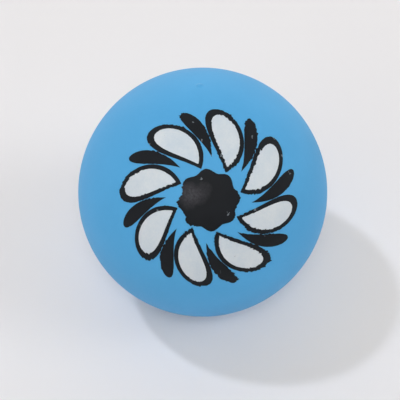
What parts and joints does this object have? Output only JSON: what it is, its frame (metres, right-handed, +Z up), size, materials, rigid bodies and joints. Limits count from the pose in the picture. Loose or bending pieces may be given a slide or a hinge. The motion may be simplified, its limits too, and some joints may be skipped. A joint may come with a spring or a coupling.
{
  "type": "rubber ball",
  "caption": "Hollow moulded rubber play ball: two cemented half shells with a self-sealing inflation plug inside and a printed motif on one side.",
  "frame": {"origin": "the centre of the ball", "axes": "+Z up as the ball lies; the middle of the printed shell looks 45 degrees up towards -Y; +X to the right of someone who faces the print"},
  "size_m": [0.06, 0.06, 0.06],
  "materials": {
    "printed_shell_rubber": "matte, finely buffed, printed in white and black",
    "plain_shell_rubber": "matte, finely buffed",
    "seam_cement": "buffed flush outside, smooth bead inside",
    "plug_gum": "soft natural gum, satin",
    "seal_cement": "cured cement, satin",
    "white_print_ink": "pad-printed ink, matte",
    "black_print_ink": "pad-printed ink, matte"
  },
  "bodies": {
    "root": {"printed_half_shell": "printed_shell_rubber", "plain_half_shell": "plain_shell_rubber", "seam_cement_ring": "seam_cement", "inflation_plug": "plug_gum", "needle_hole_seal": "seal_cement"}
  },
  "joints": []
}
